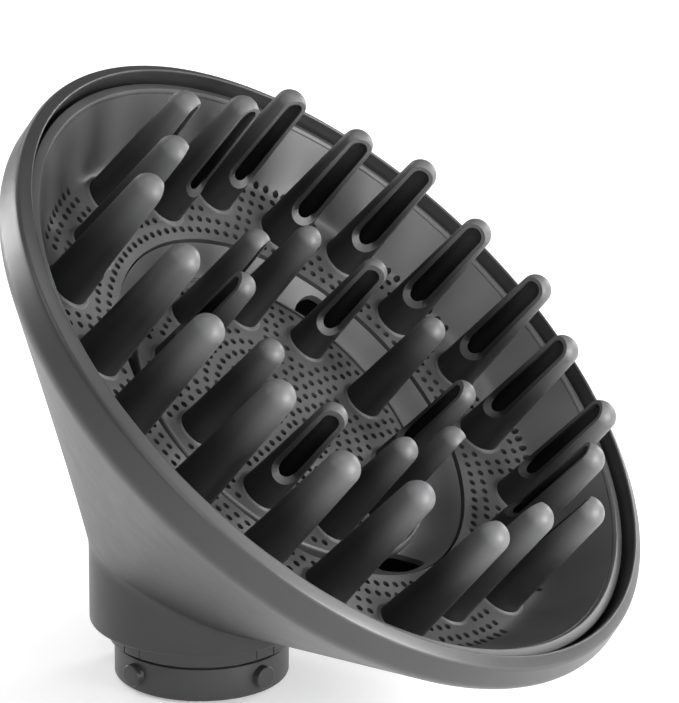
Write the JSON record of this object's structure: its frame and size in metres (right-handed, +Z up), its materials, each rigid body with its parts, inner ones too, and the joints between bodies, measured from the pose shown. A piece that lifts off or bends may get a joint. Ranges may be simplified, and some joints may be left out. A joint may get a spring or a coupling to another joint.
{
  "type": "dryer diffuser",
  "caption": "Tilted bowl hair-dryer diffuser with hollow slotted prongs on perforated plates, a funnel neck and a bayonet plug-in spigot.",
  "frame": {"origin": "middle of the spigot's lower end face, the face that goes into the dryer's handle", "axes": "+Z up along the neck's axis, away from the dryer; +X the way the bowl leans; the part is symmetric about XZ apart from the pins and the bayonet pattern of the prongs"},
  "size_m": [0.1034, 0.1338, 0.1092],
  "materials": {
    "shell": "satin moulded grey plastic",
    "connector": "satin moulded grey plastic",
    "bowl": "satin moulded grey plastic with fine perforation",
    "prong": "satin charcoal plastic",
    "hidden_plastic": "plain moulded dark plastic",
    "seal": "soft black silicone",
    "screw": "zinc-plated pan head"
  },
  "bodies": {
    "root": {"bowl": "bowl", "bowl_seal": "seal", "centre_plate": "bowl", "channel_ring": "bowl", "collar_ring": "connector", "connector_spigot": "connector", "inner_prong_01": "prong", "inner_prong_02": "prong", "inner_prong_03": "prong", "inner_prong_04": "prong", "inner_prong_05": "prong", "inner_prong_06": "prong", "inner_prong_07": "prong", "inner_prong_08": "prong", "inner_prong_09": "prong", "inner_prong_10": "prong", "inner_prong_retainer": "hidden_plastic", "inner_retainer_screw_1": "screw", "inner_retainer_screw_2": "screw", "inner_retainer_screw_3": "screw", "inner_retainer_screw_4": "screw", "inner_retainer_screw_5": "screw", "outer_prong_01": "prong", "outer_prong_02": "prong", "outer_prong_03": "prong", "outer_prong_04": "prong", "outer_prong_05": "prong", "outer_prong_06": "prong", "outer_prong_07": "prong", "outer_prong_08": "prong", "outer_prong_09": "prong", "outer_prong_10": "prong", "outer_prong_11": "prong", "outer_prong_12": "prong", "outer_prong_13": "prong", "outer_prong_14": "prong", "outer_prong_15": "prong", "outer_prong_16": "prong", "outer_prong_17": "prong", "outer_prong_18": "prong", "outer_prong_19": "prong", "outer_prong_20": "prong", "outer_prong_retainer": "hidden_plastic", "outer_retainer_screw_1": "screw", "outer_retainer_screw_2": "screw", "outer_retainer_screw_3": "screw", "outer_retainer_screw_4": "screw", "outer_retainer_screw_5": "screw", "outer_shell": "shell", "spigot_seal": "seal"}
  },
  "joints": []
}
